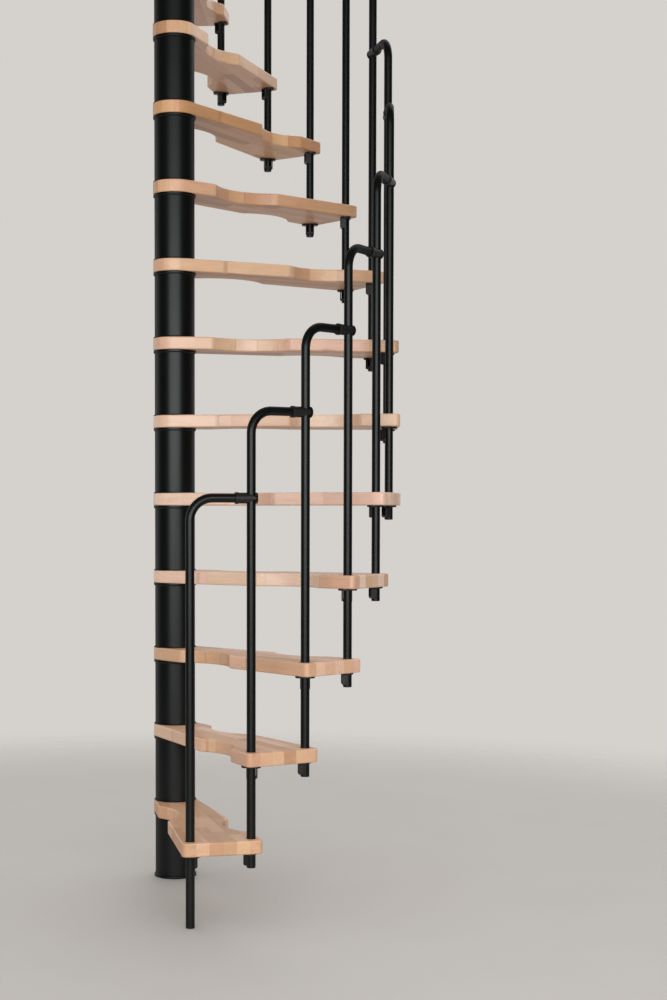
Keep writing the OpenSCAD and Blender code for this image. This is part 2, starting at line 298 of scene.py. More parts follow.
def mesh_of(name, shell):
    """Blender mesh with the shell's points, faces and per-point values (a float or a vector each)."""
    mesh = bpy.data.meshes.new(name)
    mesh.from_pydata(shell.points.tolist(), [], shell.faces)
    for mark, values in shell.marks.items():
        kind = "FLOAT" if values.ndim == 1 else "FLOAT_VECTOR"
        layer = mesh.attributes.new(mark, kind, "POINT")
        layer.data.foreach_set("value" if values.ndim == 1 else "vector", values.astype(np.float32).ravel())
    mesh.update()
    return mesh


def piece(name, shell, slot, *nodes, crisp=40):
    """Object of a shell, shaded smoothly but for edges that bend more than `crisp` degrees."""
    mesh = mesh_of(name, shell)
    mesh.polygons.foreach_set("use_smooth", np.ones(len(mesh.polygons), bool))
    mesh.set_sharp_from_angle(angle=math.radians(crisp))
    thing = bpy.data.objects.new(name, mesh)
    bpy.context.collection.objects.link(thing)
    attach(thing, "root")
    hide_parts(*nodes)
    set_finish(thing, slot)
    made[name] = thing


# %% [markdown]
# ## Cutting and fusing
# Some forms are easier to cut than to draw, such as a bore through a sleeve or a recess in a screw. Blender's
# boolean works each of them out once, and the result is a shell again. A cutter reaches past each surface
# that it cuts, so that no thin skin is left over a hole.

# %% Cut and fuse


def outward(shell):
    """The same shell with its faces turned to point out of the closed form."""
    mesh = mesh_of("outward", shell)
    work = bmesh.new()
    work.from_mesh(mesh)
    bmesh.ops.recalc_face_normals(work, faces=work.faces)
    work.to_mesh(mesh)
    work.free()
    turned = Shell(shell.points, [p.vertices for p in mesh.polygons], **shell.marks)
    bpy.data.meshes.remove(mesh)
    return turned


def carved(base, tool, operation="DIFFERENCE"):
    """Shell of a boolean of two shells, worked out once by Blender's exact solver."""
    pair = [bpy.data.objects.new("cut", mesh_of("cut", s)) for s in (base, tool)]
    for thing in pair:
        bpy.context.collection.objects.link(thing)
    step = pair[0].modifiers.new("cut", "BOOLEAN")
    step.object, step.operation, step.solver = pair[1], operation, "EXACT"
    solved = pair[0].evaluated_get(bpy.context.evaluated_depsgraph_get())
    result = solved.to_mesh()
    points = np.empty(len(result.vertices) * 3)
    result.vertices.foreach_get("co", points)
    shell = Shell(points, [p.vertices for p in result.polygons])
    solved.to_mesh_clear()
    for thing in pair:
        bpy.data.objects.remove(thing)
    return shell


print("a bored drum has", len(carved(drum(2, 0, 1), drum(1, -1, 2)).points), "points")

# %% [markdown]
# ## The outline of a tread
# Seen from above a tread is a long paddle: a round end in the column, two straight sides that spread outward,
# and a flat end with rounded corners. One side is hollowed near the column and the other further out, so that
# a foot passes the tread above. The outline is a chain of arcs, and the straight sides are what lies between
# them. Every point carries its outward direction, which later rounds the edges.

# %% Outline
RING, REACH, END_HALF, CORNER = 0.0635, 0.667, 0.109, 0.014
INNER_ROUND, OUTER_ROUND, BLEND = 0.172, 0.149, 0.020
RING_STEPS, HOLLOW_STEPS, CORNER_STEPS = 40, 34, 10
INNER = np.array([0.211, 0.033 + INNER_ROUND])
OUTER = np.array([0.440, 0.052 + OUTER_ROUND])
SIDE = math.acos(RING / math.hypot(REACH, END_HALF)) - math.atan2(REACH, END_HALF)
ALONG = np.array([math.cos(SIDE), math.sin(SIDE)])
BESIDE = np.array([-math.sin(SIDE), math.cos(SIDE)])
FLIP = np.array([1, -1])


def blend_centre(hollow, radius, way):
    """Centre of the rounding of side and hollow, at the hollow's start (way -1) or end (way 1).

    It lies radius + BLEND from the hollow's centre and BLEND inside the side."""
    up = np.dot(hollow, BESIDE) - RING + BLEND
    along = np.dot(hollow, ALONG) + way * math.sqrt((radius + BLEND) ** 2 - up ** 2)
    return along * ALONG + (RING - BLEND) * BESIDE


def toward(a, b):
    """Direction from a to b in degrees."""
    return math.degrees(math.atan2(b[1] - a[1], b[0] - a[0]))


def outline():
    """Points and outward directions, counter-clockwise, arc by arc.

    Each arc is centre + radius * (cos t, sin t). A hollow has a radius below 0, which turns its outward
    direction round, and it shares its ends with the arcs beside it."""
    inner_start, inner_end = (blend_centre(INNER, INNER_ROUND, way) for way in (-1, 1))
    outer_start, outer_end = (blend_centre(OUTER, OUTER_ROUND, way) * FLIP for way in (-1, 1))
    outer, side = OUTER * FLIP, 90 + math.degrees(SIDE)
    end = REACH - CORNER
    corner = np.array([end, (RING - CORNER + end * math.sin(SIDE)) / math.cos(SIDE)])
    arcs = [
        (np.zeros(2), RING, side, 360 - side, RING_STEPS),
        (outer_start, BLEND, -side, toward(outer_start, outer), CORNER_STEPS),
        (outer, -OUTER_ROUND, toward(outer, outer_start), toward(outer, outer_end), HOLLOW_STEPS),
        (outer_end, BLEND, toward(outer_end, outer), -side, CORNER_STEPS),
        (corner * FLIP, CORNER, -side, 0, CORNER_STEPS),
        (corner, CORNER, 0, side, CORNER_STEPS),
        (inner_end, BLEND, side, toward(inner_end, INNER), CORNER_STEPS),
        (INNER, -INNER_ROUND, toward(INNER, inner_end), toward(INNER, inner_start), HOLLOW_STEPS),
        (inner_start, BLEND, toward(inner_start, INNER), side, CORNER_STEPS),
    ]
    points, normals = [], []
    for centre, radius, start, stop, steps in arcs:
        t = np.radians(np.linspace(start, stop, steps + 1))
        t = t[1:-1] if radius < 0 else t
        ray = np.stack([np.cos(t), np.sin(t)], -1)
        points.append(centre + abs(radius) * ray)
        normals.append(ray * math.copysign(1, radius))
    return np.concatenate(points), np.concatenate(normals)


EDGE, EDGE_WAY = outline()
gaps = np.linalg.norm(EDGE - np.roll(EDGE, -1, 0), axis=1)
print("outline:", len(EDGE), "points, longest straight run", round(gaps.max(), 3), "m")

# %% [markdown]
# ## A tread with rounded edges
# The board is 37 mm thick and its edges are rounded by about four millimetres, which reads as a bright line
# along the lower edge. The rim is a grid: the outline, moved inward along its outward directions, at each
# height of a rounded profile, and the holes have walls of the same kind. The flat faces are filled between
# the rim and the three holes, with the triangles that would cover a hole left out. The board's own
# coordinates are kept on each point for the wood grain.

# %% Tread
ROUND, HOLE_ROUND, GUARD = 0.004, 0.0010, 0.001
BORE, HOLE, HOLE_POINTS = 0.0125, 0.0125, 32
HOLE_X = BALUSTER_CIRCLE * math.cos(math.radians(HALF_TURN))
HOLE_Y = BALUSTER_CIRCLE * math.sin(math.radians(HALF_TURN))
HOLES = [(0.0, 0.0, BORE), (HOLE_X, -HOLE_Y, HOLE), (HOLE_X, HOLE_Y, HOLE)]


def rim_profile(rounding, steps):
    """Insets and heights up an edge of the board: two quarter arcs, each with a guard on both its sides."""
    bottom, top = np.split(rounded_rings(0, THICK, rounding, rounding, steps + 1), 2)
    past = rounding + GUARD
    return np.concatenate([[(past, 0)], bottom, [(0, past), (0, THICK - past)], top, [(past, THICK)]])


def in_loop(spots, loop):
    """A spot is inside where a ray along +X crosses the loop an odd number of times."""
    a, b = loop, np.roll(loop, -1, 0)
    x, y = spots[:, 0][:, None], spots[:, 1][:, None]
    crosses = (a[:, 1] > y) != (b[:, 1] > y)
    run = np.where(b[:, 1] == a[:, 1], 1, b[:, 1] - a[:, 1])
    at = a[:, 0] + (y - a[:, 1]) / run * (b[:, 0] - a[:, 0])
    return (crosses & (x < at)).sum(1) % 2 == 1


def board_faces(loops):
    """Triangles of the flat face inside the first loop and outside the others, seen from above."""
    flat = [Vector(p) for loop in loops for p in loop]
    starts = np.cumsum([0] + [len(loop) for loop in loops])
    rings = [list(range(a, b)) for a, b in zip(starts[:-1], starts[1:])]
    edges = [(r[i], r[(i + 1) % len(r)]) for r in rings for i in range(len(r))]
    points, _, faces, *_ = delaunay_2d_cdt(flat, edges, [], 0, 1e-7)
    assert len(points) == len(flat)
    faces = np.array([f for f in faces if len(f) == 3])
    middle = np.array(points)[faces].mean(1)
    inside = in_loop(middle, np.asarray(loops[0]))
    for x, y, radius in HOLES:
        inside &= np.hypot(middle[:, 0] - x, middle[:, 1] - y) > radius
    return faces[inside]


def tread_board():
    """Rim, hole walls and both flat faces of one tread along +X, with its lower face at height 0."""
    rim, wall = rim_profile(ROUND, 5), rim_profile(HOLE_ROUND, 2)
    t = circle(HOLE_POINTS)
    ray = np.stack([np.cos(t), np.sin(t)], -1)
    walls = [(EDGE - rim[:, :1, None] * EDGE_WAY, rim, 1)]
    for x, y, radius in HOLES:
        walls.append((np.array([x, y]) + (radius + wall[:, :1, None]) * ray, wall, -1))
    points, faces, low, high, count = [], [], [], [], 0
    for loops, profile, way in walls:
        rows, columns = loops.shape[:2]
        points.append(at_heights(loops, profile[:, 1]).reshape(-1, 3))
        faces.extend((squares(rows, columns) + count)[:, ::way])
        low.append(np.arange(columns) + count)
        high.append(low[-1] + (rows - 1) * columns)
        count += rows * columns
    fill = board_faces([loops[0] for loops, _, _ in walls])
    low, high = np.concatenate(low), np.concatenate(high)
    return Shell(np.concatenate(points), [*faces, *high[fill], *low[fill][:, ::-1]])


BOARD = tread_board()
print("tread:", len(BOARD.points), "points,", len(BOARD.faces), "faces")

# %% [markdown]
# ## Twelve treads, left and right by turns
# Even treads have the inner hollow on the side that climbs, odd ones are their mirror images. Each board gets
# its own number, from which the finish draws its pattern of wood blocks. The numbers were picked among random
# ones, so that light and dark blocks lie about where the real boards have them. Each board also gets a tint
# that is partly its own tone and partly painted light: 0 is pale and pinkish with a painted sheen of the
# front light, 0.4 plain beech, and 1 golden, which paints the warmer, dimmer light on the upper boards.

# %% Place the treads
PATTERNS = [109, 50, 27, 136, 101, 114, 103, 104, 81, 22, 71, 120]
# Tint of each board: partly its own tone, partly painted light (golden high up, a pale painted sheen in the
# middle).
WARMTH_AND_PAINTED_LIGHT = [0.45, 0.38, 0.40, 0.05, 0.0, 0.05, 0.15, 0.40, 0.55, 0.90, 0.60, 0.30]
for i, pattern, tint_and_light in zip(NUMBERS, PATTERNS, WARMTH_AND_PAINTED_LIGHT):
    board = BOARD if i % 2 == 0 else BOARD.mirrored(1)
    placed = board.turned(azimuth(i) + HALF_TURN - 90).moved(z=tread_top(i) - THICK)
    each = np.ones(len(board.points))
    placed.marks = {"board": board.points, "tread_number": pattern * each, "warmth": tint_and_light * each}
    piece(f"wooden_tread_{i:02d}", placed, "beech", f"tread_{i:02d}", crisp=50)
print("treads made:", sum(name.startswith("wooden_tread") for name in made))

# %% [markdown]
# ## Bent balusters
# Each baluster is one steel tube: it stands in the front hole of its own tread, goes down through the rear
# hole of the tread below, and turns over at the top into a level arm that reaches the next baluster. The
# surface is a circle carried along a path of an upright, a quarter bend and an arm, in the plane of the path.
# A straight post in the last hole takes the last arm.

# %% Balusters
ROUND_TUBE = 40
PLUG_LIP = 0.003
POST_TOP = tread_top(TREADS) + RAIL + TUBE + CLAMP_WALL + 0.004


def bent_tube(foot, arm_height, arm_length, bend_steps=20):
    """Circle about each path point p: p + R (cos t n + sin t b).

    The path turns from +Z to +X. The direction n lies across it in its plane, and b is Y."""
    turn = np.radians(np.linspace(0, 90, bend_steps + 1))
    straight = np.linspace(foot, arm_height - BEND, 12, endpoint=False)
    arm = np.linspace(BEND, arm_length, 6)[1:]
    x = np.concatenate([0 * straight, BEND * (1 - np.cos(turn)), arm])
    z = np.concatenate([straight, arm_height - BEND + BEND * np.sin(turn), arm_height + 0 * arm])
    lean = np.concatenate([0 * straight, turn, math.pi / 2 + 0 * arm])
    t = circle(ROUND_TUBE)[:, None]
    across = np.stack([np.cos(lean), 0 * lean, -np.sin(lean)], -1)[:, None]
    ring = np.cos(t) * across + np.sin(t) * np.array([0, 1, 0])
    return Shell(np.stack([x, 0 * x, z], -1)[:, None] + TUBE * ring, tube_faces(len(x), ROUND_TUBE))


def at_baluster(shell, i):
    """Moved out to the circle of the balusters, at azimuth i from -Y counter-clockwise."""
    a = math.radians(azimuth(i))
    return shell.moved(BALUSTER_CIRCLE * math.sin(a), -BALUSTER_CIRCLE * math.cos(a))


def foot_at(i):
    """Lower end of upright i: the floor, or FOOT_REACH under the tread that it ends in."""
    return 0.0 if i == 1 else tread_top(i - 1) - THICK - FOOT_REACH


for i in NUMBERS:
    tube = bent_tube(foot_at(i) + PLUG_LIP, tread_top(i) + RAIL, CHORD - TUBE - CLAMP_WALL)
    placed = at_baluster(tube.turned(azimuth(i) + HALF_TURN), i)
    piece(f"bent_baluster_{i:02d}", placed, "tube_black", f"baluster_{i:02d}")

post_heights = np.linspace(foot_at(TREADS + 1) + PLUG_LIP, POST_TOP - PLUG_LIP, 12)
post = turned_solid(np.array([(TUBE, z) for z in post_heights]), ROUND_TUBE)
piece("straight_end_post", at_baluster(post, TREADS + 1), "tube_black", "end_post")
print("tubes made:", TREADS + 1, "arm length", round(CHORD - BEND - TUBE, 3), "m")

# %% [markdown]
# ## Plugs in the tube ends
# Each lower end is closed by a moulded plug with a thin lip as wide as the tube. Only the lip and its
# slightly domed face show. The end post has one more on top.

# %% Plugs
DOME_RISE, LIP_ROUND, ROUND_TOP = 0.0009, 0.001, 0.0018
STEM, STEM_LONG = 0.0099, 0.012


def plug():
    """Turned solid: a dome, z = rise * (r / R) squared, then the rounded lip, then the stem in the tube."""
    r = np.linspace(0.001, TUBE - 0.0012, 6)
    dome = np.stack([r, DOME_RISE * (r / TUBE) ** 2], -1)
    t = np.linspace(0, math.pi / 2, 4)
    edge = np.stack([TUBE - LIP_ROUND + LIP_ROUND * np.sin(t), ROUND_TOP - LIP_ROUND * np.cos(t)], -1)
    stem = np.array([(TUBE, PLUG_LIP), (STEM, PLUG_LIP), (STEM, PLUG_LIP + STEM_LONG)])
    return turned_solid(np.concatenate([dome, edge, stem]), 32)


one = plug()
plugs = [at_baluster(one.moved(z=foot_at(i)), i) for i in range(1, TREADS + 2)]
plugs.append(at_baluster(one.mirrored(2).moved(z=POST_TOP), TREADS + 1))
piece("tube_end_plugs", joined(plugs), "fitting_black", "tube_plugs")
print("plugs made:", len(plugs))

# %% [markdown]
# ## Prisms
# A moulded or sawn form often has one outline all the way up. It is a loop carried straight up Z, and where
# its rings draw in near the ends, its edges are rounded.

# %% Prisms
THROUGH = [(0, -0.03), (0, 0.03)]


def prism(loop, rings):
    """Solid on Z: the loop, moved inward along its outward directions by each ring's inset, at its height."""
    ahead = np.roll(loop, -1, 0) - loop
    ahead /= np.linalg.norm(ahead, axis=1)[:, None]
    along = ahead + np.roll(ahead, 1, 0)
    way = np.stack([along[:, 1], -along[:, 0]], -1) / np.linalg.norm(along, axis=1)[:, None]
    rings = np.array(rings)
    points = at_heights(loop - rings[:, :1, None] * way, rings[:, 1])
    return Shell(points, tube_faces(len(rings), len(loop)))


print("prisms that cut go from", THROUGH[0][1], "to", THROUGH[1][1], "m")

# %% [markdown]
# ## Flanged sockets
# A black moulded socket holds the tube under each tread hole: a long flange with round ends lies against the
# wood, and a boss as wide as the tube wraps one side of it. The boss is what two prisms have in common, one
# seen from the side with a bevelled lower edge and one seen from above with rounded corners. Flange and boss
# are fused, bored once and copied 24 times, turned inward to the middle line of the tread.

# %% Sockets
FLANGE_LONG, FLANGE_END, FLANGE_WIDE, FLANGE_THICK = 0.053, 0.0175, 0.032, 0.005
BOSS_WIDE, BOSS_REACH, BOSS_BEVEL, SOCKET_LONG, BOSS_TURN = 0.027, 0.0175, 0.005, 0.035, 45


def flange():
    """Two circle ends cut off at half the width: the cut is where cos t = half width / end radius."""
    shift, cut = FLANGE_LONG / 2 - FLANGE_END, math.acos(FLANGE_WIDE / 2 / FLANGE_END)
    t = np.linspace(cut, math.pi - cut, 24)
    end = FLANGE_END * np.stack([np.cos(t), np.sin(t)], -1) + (0, shift)
    return prism(np.concatenate([end, -end]), rounded_rings(-FLANGE_THICK, 0, 0.0010, 0.0003))


def boss():
    """Common part of the side view's prism, laid along Y, and of the prism of the view from above."""
    in_flange, low = FLANGE_THICK / 2, SOCKET_LONG
    side_view = [
        (0, in_flange), (BOSS_REACH, in_flange), (BOSS_REACH, low - BOSS_BEVEL),
        (BOSS_REACH - BOSS_BEVEL, low), (0, low),
    ]
    beside = prism(softened(side_view, [0.0002, 0.0002, 0.004, 0.004, 0.0005], 4, 0.0005), THROUGH)
    half = BOSS_WIDE / 2
    from_above = [(0, -half), (0, half), (-BOSS_REACH, half), (-BOSS_REACH, -half)]
    loop = softened(from_above, [0.0003, 0.0003, 0.003, 0.003], 4, 0.0005)
    upright = prism(loop, rounded_rings(-low, 0.002, 0.0008, 0.0001))
    return carved(outward(beside.turned(-90, axis=0).mirrored(0)), upright, "INTERSECT")


SOCKET = carved(carved(flange(), boss(), "UNION"), drum(TUBE, -0.05, 0.01, 48))
for side, word in ((-1, "front"), (1, "rear")):
    own = SOCKET.turned(side * (BOSS_TURN - HALF_TURN)).moved(x=BALUSTER_CIRCLE)
    copies = []
    for i in NUMBERS:
        angle = azimuth(i) + HALF_TURN + side * HALF_TURN - 90
        copies.append(own.turned(angle).moved(z=tread_top(i) - THICK))
    piece(f"flanged_sockets_{word}", joined(copies), "fitting_black", f"{word}_sockets", crisp=35)
print("socket:", len(SOCKET.points), "points, 24 copies")

# %% [markdown]
# ## Rail clamps
# Where an arm meets the next baluster, a moulded clamp holds both: a sleeve round the arm with a raised rim
# at its open end, bored across for the upright. Two wedges are cut away, so that the sleeve tapers to a point
# on each side of the upright, which comes out of it in a V above and below. A round cap with a hub that fits
# the tube sits opposite. Each form is cut once and copied up the rail.

# %% Clamps
CLAMP, CLAMP_LONG, CLAMP_TIP, TIP_HIGH = TUBE + CLAMP_WALL, 0.044, 0.0105, 0.003
RIM, RIM_LONG, TIP_BORE = 0.01575, 0.009, 0.004
SLEEVE_BORE, SPARE = TUBE + 0.0001, 0.004
CAP_AT, CAP_WIDE, CAP_THICK, HUB = 0.016, 0.030, 0.0025, 0.008


def taper():
    """Prism along Y above a line that falls evenly from the sleeve's top beside the upright to its tip."""
    start = CLAMP_WALL - TUBE
    slope = (CLAMP - TIP_HIGH / 2) / (CLAMP_TIP - start)
    end, top = CLAMP_TIP + SPARE, CLAMP + SPARE
    wedge = np.array([(start - SPARE / slope, top), (end, TIP_HIGH / 2 - SPARE * slope), (end, top)])
    return outward(prism(wedge, THROUGH).turned(90, axis=0))


def clamp():
    """Sleeve and rim as one turned ring on Z, laid along X, minus two wedges and the bore on Z."""
    end, seat = CLAMP_LONG + CLAMP_TIP, CLAMP_LONG - CLAMP
    body = [
        (SLEEVE_BORE, 0), (RIM, 0), (RIM, RIM_LONG), (CLAMP, RIM_LONG),
        (CLAMP, end), (TIP_BORE, end), (TIP_BORE, seat), (SLEEVE_BORE, seat),
    ]
    ring = lathe(softened(body, [0.0004, 0.0014, 0.0014, 0.0006] + [0.0002] * 4, 3, 0.0005), 64)
    laid = ring.turned(90, axis=1).moved(x=-CLAMP_LONG)
    for cutter in (taper(), taper().mirrored(2), drum(SLEEVE_BORE, -0.02, 0.02)):
        laid = carved(laid, cutter)
    return laid


def clamp_cap():
    """Turned solid of hub and disc on Z, laid along X, minus the bore on Z."""
    wide, inner = CAP_WIDE / 2, CAP_AT - CAP_THICK
    shape = [
        (0.0003, TUBE / 2), (HUB, TUBE / 2), (HUB, inner),
        (wide, inner), (wide, CAP_AT), (0.0003, CAP_AT),
    ]
    profile = softened(shape, [0.00005, 0.0003, 0.0006, 0.0006, 0.0010, 0.00005], 3, 0.0004)
    return carved(turned_solid(profile, 56).turned(90, axis=1), drum(TUBE, -0.02, 0.02))


def up_the_rail(shell):
    """A copy at each upright i + 1, on the height of arm i and turned along that arm."""
    copies = []
    for i in NUMBERS:
        along_arm = shell.moved(z=tread_top(i) + RAIL).turned(azimuth(i) + HALF_TURN)
        copies.append(at_baluster(along_arm, i + 1))
    return joined(copies)


CLAMP_SHELL, CAP_SHELL = clamp(), clamp_cap()
piece("rail_elbow_clamps", up_the_rail(CLAMP_SHELL), "fitting_black", "rail_clamps", crisp=35)
piece("rail_clamp_caps", up_the_rail(CAP_SHELL), "fitting_black", "clamp_caps", crisp=35)
print("clamp:", len(CLAMP_SHELL.points), "points, cap:", len(CAP_SHELL.points), "points, 12 copies each")

# %% [markdown]
# ## Clamp screws
# A small zinc-plated screw sits in the middle of each cap. Its head is a low dome with a hexagonal recess,
# cut with a six-sided cutter.

# %% Screws
HEAD, HEAD_FOOT, HEAD_TOP, HEAD_DROP = 0.003, 0.0042, 0.0023, 0.0009
RECESS, RECESS_FLOOR = 0.0015, 0.0011


def screw():
    """Dome head on a wider foot, h = top - (r / R) squared * drop, minus a hexagon prism, laid along X."""
    r = np.linspace(HEAD, 0.0003, 8)
    dome = np.stack([r, HEAD_TOP - HEAD_DROP * (r / HEAD) ** 2], -1)
    head = turned_solid(np.concatenate([[(HEAD_FOOT, 0), (HEAD, 0)], dome]), 32)
    return carved(head, drum(RECESS, RECESS_FLOOR, 0.005, 6)).turned(90, axis=1).moved(x=CAP_AT)


SCREW = screw()
piece("clamp_screw_heads", up_the_rail(SCREW), "zinc_steel", "clamp_screws", crisp=30)
print("screw:", len(SCREW.points), "points, 12 copies")

# %% [markdown]
# ## The column
# The column is a stack of steel tube sections. A collar with a lip stands above and below each tread, and its
# spigot centres the section. The lips show as dark rings that clamp the wood, a tall one below each tread and
# a thin one above it. Sections, collars, base plate and cap are all turned rings: a closed profile carried
# round Z, softened where an edge shows.

# %% Column
COLUMN, COLUMN_WALL, LIP = 0.0595, 0.004, 0.063
LIP_HIGH, UPPER_LIP, LIP_BEVEL = 0.009, 0.003, 0.0025
SPIGOT, SPIGOT_WALL, ROD_BORE = 0.015, 0.005, 0.0125
INSIDE = COLUMN - COLUMN_WALL


def collar_shape(lip):
    """Lip of a given height with a bevelled rim, spigot and web as one closed profile of nine corners."""
    bevel, bore = min(LIP_BEVEL, lip / 2), INSIDE - SPIGOT_WALL
    return [
        (ROD_BORE, 0), (LIP, 0), (LIP, lip - bevel), (LIP - bevel, lip), (INSIDE, lip),
        (INSIDE, lip + SPIGOT), (bore, lip + SPIGOT), (bore, lip), (ROD_BORE, lip),
    ]


def collar(lip):
    """Ring of the collar's profile, each corner with its own rounding."""
    roundings = [0.0003, 0.0005, 0.002, 0.002, 0.0002, 0.0006, 0.0006, 0.0003, 0.0003]
    return lathe(softened(collar_shape(lip), roundings, 3), 64)


def section(low, high):
    """Thin tube between two heights, with a few rings along it."""
    z = np.linspace(low, high, 5)
    shape = np.concatenate([np.stack([INSIDE + 0 * z, z[::-1]], -1), np.stack([COLUMN + 0 * z, z], -1)])
    return lathe(shape, 96)


lower, upper = collar(LIP_HIGH), collar(UPPER_LIP)
stack = []
for i in NUMBERS:
    stack.append(lower.mirrored(2).moved(z=tread_top(i) - THICK))
    if i < TREADS:
        stack.append(upper.moved(z=tread_top(i)))
piece("column_lip_collars", joined(stack), "column_black", "column_collars", crisp=60)
tubes = [section(LIP_HIGH, tread_top(1) - THICK - LIP_HIGH)]
tubes += [section(tread_top(i) + UPPER_LIP, tread_top(i + 1) - THICK - LIP_HIGH) for i in range(1, TREADS)]
piece("column_tube_sections", joined(tubes), "column_black", "column_sections", crisp=60)
print("column:", len(tubes), "sections and", len(stack), "collars")

# %% [markdown]
# ## Base plate and cap
# The lowest collar is the base plate, closed below by a thin floor with four anchor holes. On the top tread a
# cap covers the nut of the tie rod. The rod itself is hidden in the column and keeps its solid.

# %% Base plate and cap
ANCHOR, ANCHOR_CIRCLE = 0.0055, 0.036
CAP_HIGH, CAP_WALL, BEVEL = 0.046, 0.004, 0.006


def base_plate():
    """A collar with a disc inside its lip as thick as the rod's seat, minus four anchor holes."""
    seat = LIP_HIGH / 3
    shape = [(0.0008, 0), *collar_shape(LIP_HIGH)[1:], (ROD_BORE, seat), (0.0008, seat)]
    plate = lathe(softened(shape, [0.0001, 0.0006, 0.002, 0.002] + [0.0004] * 7, 3), 96)
    hole = drum(ANCHOR, -0.01, 0.02, 24).moved(x=ANCHOR_CIRCLE)
    for a in range(45, 360, 90):
        plate = carved(plate, hole.turned(a))
    return plate


cap_shape = [
    (LIP, 0), (LIP, LIP_HIGH), (COLUMN, LIP_HIGH), (COLUMN, CAP_HIGH - BEVEL), (COLUMN - BEVEL, CAP_HIGH),
    (0.001, CAP_HIGH), (0.001, CAP_HIGH - CAP_WALL), (INSIDE, CAP_HIGH - CAP_WALL), (INSIDE, 0),
]
cap = lathe(softened(cap_shape, [0.0006, 0.0016, 0.001, 0.002, 0.002, 0.0002, 0.0002, 0.001, 0.0004], 3), 80)
piece("column_top_cap", cap.moved(z=tread_top(TREADS)), "column_black", "column_cap", crisp=60)
piece("column_base_plate", base_plate(), "column_black", "base_plate", crisp=50)
print("pieces made so far:", len(made))

# %% [markdown]
# ## Writing shader maths as Python
# A procedural finish is a small calculation that runs at each point of a surface. Blender draws it as nodes,
# but it reads better as a formula. The first class below wraps the end of one wire, so that adding or
# multiplying two wires lays a Math node.

# %% Wires


class Wire:
    """The value at one output socket, with the arithmetic of a Math node."""

    def __init__(self, tree, socket):
        self.tree, self.socket = tree, socket

    def math(self, operation, *values):
        """A Math node with this operation on numbers and wires."""
        return self.tree.put("ShaderNodeMath", {"operation": operation}, dict(enumerate(values)))

    def __add__(self, other):
        return self.math("ADD", self, other)

    __radd__ = __add__

    def __sub__(self, other):
        return self.math("SUBTRACT", self, other)

    def __rsub__(self, other):
        return self.math("SUBTRACT", other, self)

    def __mul__(self, other):
        return self.math("MULTIPLY", self, other)

    __rmul__ = __mul__

    def __truediv__(self, other):
        return self.math("DIVIDE", self, other)

    def __rtruediv__(self, other):
        return self.math("DIVIDE", other, self)

    def floor(self):
        """The whole number at or below the value."""
        return self.math("FLOOR", self)

    def fraction(self):
        """What the value has above that whole number."""
        return self.math("FRACT", self)

    def size(self):
        """The value without its sign."""
        return self.math("ABSOLUTE", self)

    def root(self):
        """The square root."""
        return self.math("SQRT", self)

    def off_whole(self):
        """How far the value is from the nearest whole number."""
        part = self.fraction()
        return self.math("MINIMUM", part, 1.0 - part)

    def ramp(self, low, high, start=0.0, end=1.0):
        """From start at low to end at high along a smooth S, and level beyond both; low may be above high."""
        if low > high:
            low, high, start, end = high, low, end, start
        spans = {"Value": self, "From Min": low, "From Max": high, "To Min": start, "To Max": end}
        return self.tree.put("ShaderNodeMapRange", {"interpolation_type": "SMOOTHSTEP"}, spans)


print("wires know", sum(hasattr(1, n) and not hasattr(object, n) for n in vars(Wire)), "operators")

# %% [markdown]
# ## One way to put down a node
# Every other node comes from one method, which sets the node's own settings first and then gives its inputs a
# value or a wire. Short names for the nodes that are used often stand beside it. Materials and the
# surroundings are both trees of nodes, so both are built with it.

# %% Trees of nodes


